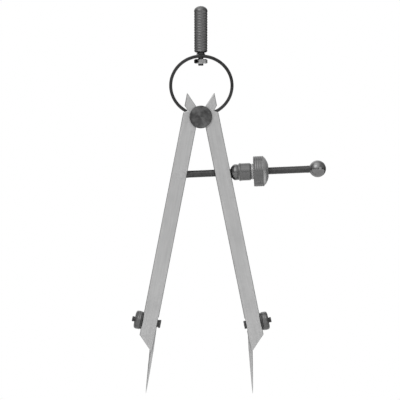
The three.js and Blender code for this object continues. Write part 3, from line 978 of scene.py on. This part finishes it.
def ball():
    """A turned ball with a small collar where the screw enters and a dimple at its far pole."""
    radius, centre, core = SCREW["ball"], SCREW["ball_at"], SCREW["core"] + SEAM
    collar = SCREW["radius"] + 0.25
    first = math.asin(collar / radius)
    last = math.pi - math.asin(0.35 / radius)
    near = centre - radius * math.cos(first)
    profile = [(0, centre + 0.1), (core, centre + 0.1), (core, near - 0.15), (collar, near - 0.15)]
    steps = 48
    for step in range(steps + 1):
        angle = first + (last - first) * step / steps
        profile.append((radius * math.sin(angle), centre - radius * math.cos(angle)))
    profile.append((0, centre + radius - 0.1))
    made = turned("ball_end", profile, SCREW_PLACE)
    dress(made, BALL_STEEL, "screw", "screw_ball")


def trunnion():
    """The cross barrel that the screw is fixed in, with a centre mark in each end."""
    half = LEG["depth"] / 2
    profile = rounded([
        (0, -half + 0.25),
        (0.45, -half, 0.05),
        (BARREL, -half, 0.14),
        (BARREL, half, 0.14),
        (0.45, half, 0.05),
        (0, half - 0.25),
    ])
    made = turned("trunnion_barrel", profile, place(ANCHOR, FRONT), SEGMENTS["trunnion"])
    dress(made, SATIN_END, "screw", "screw_trunnion")


def swivel_washer():
    """A washer with a round nose towards the leg and a narrow groove near its flat end."""
    bore, face, rim = SCREW["radius"] + SEAM, SWIVEL["face"], SWIVEL["rim"]
    centre, end = SWIVEL["pole"] + face, SWIVEL["end"]
    first, last = math.asin(bore / face), math.asin(rim / face)
    steps = 16
    profile = []
    for step in range(steps + 1):
        angle = first + (last - first) * step / steps
        profile.append((face * math.sin(angle), centre - face * math.cos(angle)))
    profile += rounded([
        (rim, profile[-1][1] + 0.01),
        (rim, end - 1.0, 0.08),
        (rim - 0.22, end - 0.8, 0.05),
        (rim - 0.22, end - 0.5, 0.05),
        (rim, end - 0.35, 0.05),
        (rim, end, 0.1),
        (bore, end),
    ])[1:]
    made = turned("swivel_cup", profile, SCREW_PLACE)
    dress(made, NUT_STEEL, "swivel_washer", "swivel_washer")


def adjusting_nut():
    """A lipped hub, a neck with a bead, and a knurled wheel with a raised crown."""
    bore = SCREW["radius"] + SEAM
    lip, hub, neck, wheel = HUB["lip"], HUB["radius"], HUB["neck"], WHEEL["radius"]
    start, end, recess = WHEEL["start"], WHEEL["end"], WHEEL["recess"]
    recess_floor = end - WHEEL["recess_depth"]
    low, high = start + 0.3, WHEEL["rim_end"]
    profile = rounded([
        (bore, HUB["start"], 0.05),
        (lip, HUB["start"], 0.15),
        (lip, HUB["lip_end"], 0.2),
        (hub, HUB["lip_end"] + 0.2, 0.08),
        (hub, HUB["end"] - 0.3, 0.3),
        (neck, HUB["end"] + 0.6, 0.2),
        (neck + 0.05, start - 0.85, 0.05),
        (neck + 0.4, start - 0.7, 0.08),
        (neck + 0.4, start - 0.4, 0.08),
        (neck + 0.05, start - 0.25, 0.05),
        (neck + 0.05, start, 0.05),
        (wheel - 0.3, start, 0.08),
        (wheel, low, 0.08),
        (wheel, high, 0.08),
        (*WHEEL["shoulder"], 0.5),
        (*WHEEL["crown"], 0.5),
        (recess, end, 0.15),
        (recess, recess_floor, 0.1),
        (bore, recess_floor, 0.05),
    ])
    pattern = KNURLS["wheel"]
    profile = finer(profile, pattern["pitch"] / 10, low, high)
    relief = knurl(low, high, **pattern)
    made = turned("thumb_nut", profile, SCREW_PLACE, 6 * pattern["teeth"], relief)
    made.data.materials.append(NUT_STEEL)
    # the neck and crown get the lighter steel, which is painted light
    mark_painted_lit_faces(made)
    dress(made, PAINTED_LIT_CROWN_STEEL, "adjusting_nut", "adjusting_nut")


def mark_painted_lit_faces(made):
    """Gives the thumb nut's neck and crown its second material, a lighter steel that is painted light:
    brighter to stand in for the light they catch.
    """
    for face in made.data.polygons:
        outside = math.hypot(face.center.x, face.center.y) > (WHEEL["recess"] + 0.2) * MM
        height = face.center.z / MM
        on_neck = HUB["end"] < height < WHEEL["start"]
        face.material_index = int(outside and (on_neck or height > WHEEL["rim_end"]))


# --- Stage ---------------------------------------------------------------------------------------


def floor():
    """A pale floor that reaches far to the front and little to the back."""
    side, front, back = FLOOR["half_width"], FLOOR["front"], FLOOR["back"]
    corners = [(-side, front, 0), (side, front, 0), (side, back, 0), (-side, back, 0)]
    level = Matrix.Translation((0, 0, FLOOR["level"] * MM))
    made = mesh_object("floor", corners, [[0, 1, 2, 3]], level)
    material = bpy.data.materials.new("pale_floor")
    material.use_nodes = True
    nodes = Nodes(material.node_tree)
    shader = material.node_tree.nodes["Principled BSDF"]
    shader.inputs["Roughness"].default_value = 0.8
    local = nodes.add("ShaderNodeTexCoord").outputs["Object"]
    speckle = nodes.add("ShaderNodeTexNoise", {"Vector": local, "Scale": 40})
    colour = mixed(nodes, speckle.outputs[0], grey(0.86), grey(0.9))
    nodes.tree.links.new(colour, shader.inputs["Base Color"])
    made.data.materials.append(material)


def level_along(nodes, direction, stops):
    """A grey level that runs through (position, level) stops as direction goes from -1 to 1."""
    ranged = {"Value": direction, "From Min": -1, "From Max": 1, "To Min": 0, "To Max": 1}
    position = nodes.add("ShaderNodeMapRange", ranged)
    ramp = nodes.add("ShaderNodeValToRGB", {"Fac": position.outputs[0]})
    elements = ramp.color_ramp.elements
    for at, _ in stops[1:-1]:
        elements.new((at + 1) / 2)
    for element, (at, level) in zip(elements, stops):
        element.position = (at + 1) / 2
        element.color = grey(level)
    return ramp.outputs["Color"]


def world():
    """White to the camera. Reflections see a soft room: bright above and below with a dark band
    under the horizon, brightest left of the middle, and a little dimmer behind the divider."""
    made = bpy.data.worlds.new("studio")
    bpy.context.scene.world = made
    made.use_nodes = True
    nodes = Nodes(made.node_tree)
    made.node_tree.nodes.clear()
    direction = nodes.add("ShaderNodeTexCoord").outputs["Generated"]
    split = nodes.add("ShaderNodeSeparateXYZ", {"Vector": direction})
    strength = ROOM["strength"]
    for axis, stops in (("X", "across"), ("Y", "deep"), ("Z", "up")):
        level = level_along(nodes, split.outputs[axis], ROOM[stops])
        factors = {0: level, 1: strength}
        strength = nodes.add("ShaderNodeMath", factors, operation="MULTIPLY").outputs[0]
    room = nodes.add("ShaderNodeBackground", {"Color": grey(1), "Strength": strength})
    white = nodes.add("ShaderNodeBackground", {"Color": grey(1), "Strength": 1.0})
    seen = nodes.add("ShaderNodeLightPath").outputs["Is Camera Ray"]
    shaders = {0: seen, 1: room.outputs[0], 2: white.outputs[0]}
    shown = nodes.add("ShaderNodeMixShader", shaders)
    nodes.add("ShaderNodeOutputWorld", {"Surface": shown.outputs[0]})


def softbox(name, where, size, energy):
    """A square area light that faces the divider's middle."""
    light = bpy.data.lights.new(name, "AREA")
    light.size = size
    light.energy = energy
    made = bpy.data.objects.new(name, light)
    bpy.context.scene.collection.objects.link(made)
    made.location = where
    made.rotation_euler = (Vector((0, 0, -0.05)) - Vector(where)).to_track_quat("-Z", "Y").to_euler()


def camera():
    """A long lens square to the legs."""
    distance, sensor = CAMERA["distance"], CAMERA["sensor"]
    x, z = CAMERA["centre"]
    data = bpy.data.cameras.new("camera")
    data.sensor_width = sensor
    data.lens = sensor * distance / CAMERA["width"]
    data.clip_end = CAMERA["far"]
    made = bpy.data.objects.new("camera", data)
    bpy.context.scene.collection.objects.link(made)
    made.location = (x, MIDDLE.y - distance, z)
    made.rotation_euler = (math.pi / 2, 0, 0)
    bpy.context.scene.camera = made


camera()
world()
floor()
softbox("key_light", (-0.55, -0.75, 0.6), size=0.7, energy=1.4)
softbox("fill_light", (0.7, -0.8, 0.1), size=0.6, energy=1)
bpy.context.scene.view_settings.view_transform = "Standard"

fulcrum()
handle()
handle_stem()
bow_nut()
adjusting_screw()
ball()
trunnion()
swivel_washer()
adjusting_nut()
for side in SIDES:
    leg(side)
    needle(side)
    clamp_bolt(side)
    clamp_washer(side)
    clamp_nut(side)
    bow(side)
